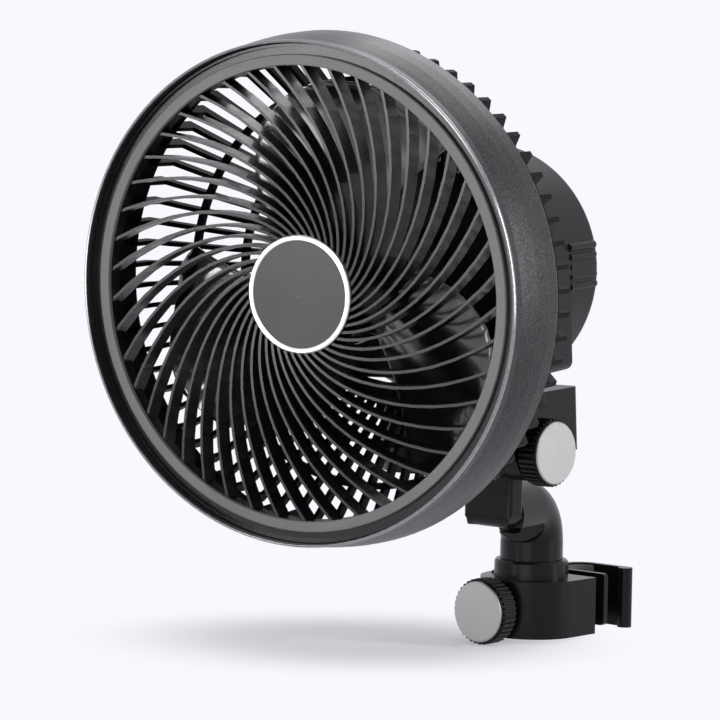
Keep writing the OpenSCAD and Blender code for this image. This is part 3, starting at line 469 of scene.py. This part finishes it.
bpy.ops.object.select_all(action="DESELECT")
bpy.ops.mesh.primitive_grid_add(x_subdivisions=22, y_subdivisions=20, size=1.0,
                                location=(0, 0, 0))
blade = bpy.context.object
blade.name = "blade"
for corner in blade.data.vertices:
    corner.co = blade_point(corner.co.x + 0.5, corner.co.y + 0.5)
wall = blade.modifiers.new("wall", "SOLIDIFY")
wall.thickness = BLADE_THICK
wall.offset = 0.0
soften = blade.modifiers.new("soft edges", "BEVEL")
soften.width = 0.5
soften.segments = 2
soften.limit_method = "ANGLE"
soften.angle_limit = math.radians(60)
apply_all(blade)
print("blade:", len(blade.data.polygons), "faces")

# %% [markdown]
# ## The cup
# The cup is a cylinder with its back face pushed in. The face is inset by the wall, and what
# is left of it is extruded forwards until only the front's thickness stays. Then a bevel
# rounds its rims.

# %% Model the cup
CUP_DEEP = CUP_FRONT_Z - CUP_REAR_Z

bpy.ops.object.select_all(action="DESELECT")
bpy.ops.mesh.primitive_cylinder_add(vertices=96, radius=HUB_R, depth=CUP_DEEP,
                                    location=(0, 0, (CUP_FRONT_Z + CUP_REAR_Z) / 2))
cup = bpy.context.object
cup.name = "fan_wheel_smooth"
bpy.ops.object.transform_apply(location=True, rotation=False, scale=False)
bpy.ops.object.mode_set(mode="EDIT")
bpy.ops.mesh.select_mode(type="FACE")
bpy.ops.mesh.select_all(action="DESELECT")
bpy.ops.object.mode_set(mode="OBJECT")
for face in cup.data.polygons:
    face.select = face.normal.z < -0.9
bpy.ops.object.mode_set(mode="EDIT")
bpy.ops.mesh.inset(thickness=CUP_WALL)
bpy.ops.mesh.extrude_region_move(TRANSFORM_OT_translate={"value": (0, 0, CUP_DEEP - CUP_FLOOR)})
bpy.ops.object.mode_set(mode="OBJECT")
rims = cup.modifiers.new("round rims", "BEVEL")
rims.width = 1.2
rims.segments = 3
rims.limit_method = "ANGLE"
rims.angle_limit = math.radians(50)
apply_all(cup)
print("cup:", len(cup.data.polygons), "faces")

# %% [markdown]
# ## The whole wheel
# What repeats is modelled once. The blade is copied three times, each copy with a mesh of its
# own, turned by a third of a turn more than the last and joined to the cup. The spare blade
# is then thrown away.

# %% Join three blades to the cup
only(cup)
for turn in range(BLADES):
    one = blade.copy()
    one.data = blade.data.copy()
    bpy.context.collection.objects.link(one)
    one.data.transform(Matrix.Rotation(math.radians(turn * 360 / BLADES), 4, "Z"))
    one.select_set(True)
bpy.ops.object.join()
bpy.data.objects.remove(blade)
print("joined wheel:", len(cup.data.polygons), "faces")

# %% [markdown]
# ## Set the wheel on the head
# So far the wheel lies in millimetres round the world's origin. Its mesh, and not its object,
# is moved onto the head's axes, so that the object stays unturned at the origin like the
# solids. It rides on the body called wheel and stands in for the faceted solid.

# %% Place, smooth and finish the wheel
cup.data.transform(to_head)
bpy.ops.object.mode_set(mode="EDIT")
bpy.ops.mesh.select_all(action="SELECT")
bpy.ops.mesh.normals_make_consistent(inside=False)
bpy.ops.object.mode_set(mode="OBJECT")
bpy.ops.object.shade_smooth_by_angle(angle=math.radians(35))
cup.data.materials.clear()
cup.data.materials.append(polished_abs)
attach(cup, "wheel")
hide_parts("fan_wheel")
print("wheel size:", [round(side, 3) for side in cup.dimensions], "m")

# %% [markdown]
# ## Camera
# The portrait is taken from the front right and a little above. A wide lens would bend the
# round head into an egg, so the camera stands over a metre off with a long lens, and it is
# rolled by one degree.

# %% Set up the camera
LENS_MM = 130.0
SENSOR_MM = 36.0
STANDS_AT = Vector((0.77727, -1.00659, 0.18085))
LOOKS_ALONG = Vector((-0.676791, 0.734229, -0.053492))
ROLL = math.radians(0.97)


def aim(place, along):
    """Matrix of a camera or a lamp at a place that looks along a direction."""
    return Matrix.Translation(place) @ along.to_track_quat("-Z", "Y").to_matrix().to_4x4()


camera_data = bpy.data.cameras.new("camera")
camera = bpy.data.objects.new("camera", camera_data)
bpy.context.collection.objects.link(camera)
bpy.context.scene.camera = camera
camera_data.sensor_width = SENSOR_MM
camera_data.lens = LENS_MM
camera_data.clip_end = 50.0
camera.matrix_world = aim(STANDS_AT, LOOKS_ALONG) @ Matrix.Rotation(ROLL, 4, "Z")
print("camera to clamp:", round(STANDS_AT.length, 2), "m")

# %% [markdown]
# ## A white that lights nothing
# The portrait has a white background. If it were lit up until it turned white, the fan would
# wash out too. So the background glows with its own colour, and only for rays that come from
# the camera, from a reflection or through something clear. The rays that light the fan don't
# see it.

# %% Rays that see the background
BACKGROUND = "faf7fe"


def seen_directly(tree):
    """One for a camera, glossy or transmission ray, and zero for the rays that light."""
    rays = add(tree, "ShaderNodeLightPath")
    mirror = add(tree, "ShaderNodeMath",
                 {0: rays.outputs["Is Camera Ray"], 1: rays.outputs["Is Glossy Ray"]},
                 operation="MAXIMUM")
    clear = add(tree, "ShaderNodeMath",
                {0: mirror.outputs["Value"], 1: rays.outputs["Is Transmission Ray"]},
                operation="MAXIMUM")
    return clear.outputs["Value"]


print("background in linear light:", [round(c, 2) for c in linear(BACKGROUND)[:3]])

# %% [markdown]
# ## Floor
# The floor is a sheet of white paper that runs on for metres. A sheet that is paper all over
# would show a horizon and go grey far from the lamps. So it is real paper only in an oval
# patch under the head, where the soft shadow falls, and fades into the glowing background all
# round it.

# %% Lay the floor
FLOOR_DROP = 0.0002
TOOTH_MM = 3
PATCH_CENTRE = (-0.050, -0.112, 0.0)
PATCH_TURN = (0.0, 0.0, math.radians(42.7))
PATCH_HALF_SIZE = (0.130, 0.098, 1.0)
GLOW_IN_PATCH = 0.22

bpy.ops.object.select_all(action="DESELECT")
bpy.ops.mesh.primitive_plane_add(size=30.0, location=(0.0, 0.0, cad_box[0][2] - FLOOR_DROP))
floor = bpy.context.object
floor.name = "floor"
paper, tree, shader, output, place = new_finish("white paper sweep")
tooth = add(tree, "ShaderNodeTexNoise",
            {"Vector": place, "Scale": per_mm(TOOTH_MM), "Detail": 2.0})
tone = add(tree, "ShaderNodeValToRGB", {"Fac": tooth.outputs["Fac"]})
two_tones(tone, "f8f5fc", BACKGROUND, 0.0, 1.0)
tree.links.new(tone.outputs["Color"], shader.inputs["Base Color"])
shader.inputs["Roughness"].default_value = 0.9
shader.inputs["Specular IOR Level"].default_value = 0.05
print("floor at", round(floor.location.z, 4), "m")

# %% [markdown]
# ## From paper to background
# A Mapping node turns the oval patch into a circle of radius 1 round its middle, so the length
# of the mapped place says how far out a point lies. A smooth step on that length mixes the
# paper with the glow. A little glow stays even in the middle, which keeps the shadow soft.

# %% Fade the paper into the background
FADE_FROM = 0.25
FADE_TO = 1.10

patch = add(tree, "ShaderNodeMapping",
            {"Vector": place, "Location": PATCH_CENTRE, "Rotation": PATCH_TURN,
             "Scale": PATCH_HALF_SIZE}, vector_type="TEXTURE")
far = add(tree, "ShaderNodeVectorMath", {0: patch.outputs["Vector"]}, operation="LENGTH")
fade = add(tree, "ShaderNodeMapRange",
           {"Value": far.outputs["Value"], "From Min": FADE_FROM, "From Max": FADE_TO,
            "To Min": GLOW_IN_PATCH}, interpolation_type="SMOOTHSTEP")
share = add(tree, "ShaderNodeMath", {0: fade.outputs["Result"], 1: seen_directly(tree)},
            operation="MULTIPLY")
glow = add(tree, "ShaderNodeEmission", {"Color": linear(BACKGROUND), "Strength": 1.0})
sweep = add(tree, "ShaderNodeMixShader",
            {"Fac": share.outputs["Value"], 1: shader.outputs["BSDF"],
             2: glow.outputs["Emission"]})
tree.links.new(sweep.outputs["Shader"], output.inputs["Surface"])
floor.data.materials.append(paper)
print("floor nodes:", len(tree.nodes))

# %% [markdown]
# ## World
# The world does two jobs. Rays that are seen directly get the same white as the floor, so no
# edge shows between the two. All other rays get a dimmer white, which fills the shadows as the
# walls of a bright studio do.

# %% Set the world
FILL = 0.35

world = bpy.data.worlds.new("studio")
bpy.context.scene.world = world
world.use_nodes = True
tree = world.node_tree
tree.nodes.clear()
fill = add(tree, "ShaderNodeBackground", {"Color": linear("ffffff"), "Strength": FILL})
white = add(tree, "ShaderNodeBackground", {"Color": linear(BACKGROUND), "Strength": 1.0})
both = add(tree, "ShaderNodeMixShader",
           {"Fac": seen_directly(tree), 1: fill.outputs["Background"],
            2: white.outputs["Background"]})
add(tree, "ShaderNodeOutputWorld", {"Surface": both.outputs["Shader"]})
print("world nodes:", len(tree.nodes))

# %% [markdown]
# ## Light
# The key is a large soft box above the camera. It lights the grille and drops a soft shadow
# behind the head. A second one high at the back runs a sheen along the top of the lacquered
# ring. Two tall narrow strips draw the upright highlights on the tube and the clamp, one from
# the left and one from the right. A small card lies low in front, and the blades mirror it.
# Black plastic shows nothing but such reflections, so each lamp is placed for what it draws.

# %% Hang the soft boxes
def soft_box(name, place, target, wide, high, watts):
    """Hangs a rectangular lamp, in metres and watts, and turns it to its target."""
    data = bpy.data.lights.new(name, "AREA")
    data.shape = "RECTANGLE"
    data.size = wide
    data.size_y = high
    data.energy = watts
    lamp = bpy.data.objects.new(name, data)
    bpy.context.collection.objects.link(lamp)
    lamp.matrix_world = aim(Vector(place), Vector(target) - Vector(place))


FAN_MIDDLE = (0.0, -0.18, 0.10)
BLADE_MIDDLE = (0.0, -0.2, 0.18)
soft_box("key", (0.75, -1.02, 1.21), FAN_MIDDLE, 0.8, 0.8, 8.0)
soft_box("back", (-0.25, 0.85, 1.20), FAN_MIDDLE, 1.0, 0.4, 3.6)
soft_box("left strip", (-0.35, -1.35, 0.35), FAN_MIDDLE, 0.15, 0.9, 6.0)
soft_box("right strip", (1.10, 0.55, 0.35), FAN_MIDDLE, 0.15, 0.9, 7.0)
soft_box("low card", (0.20, -0.62, 0.0), BLADE_MIDDLE, 0.35, 0.25, 1.2)
bpy.context.scene.view_settings.view_transform = "Standard"
print("lamps:", len(bpy.data.lights))
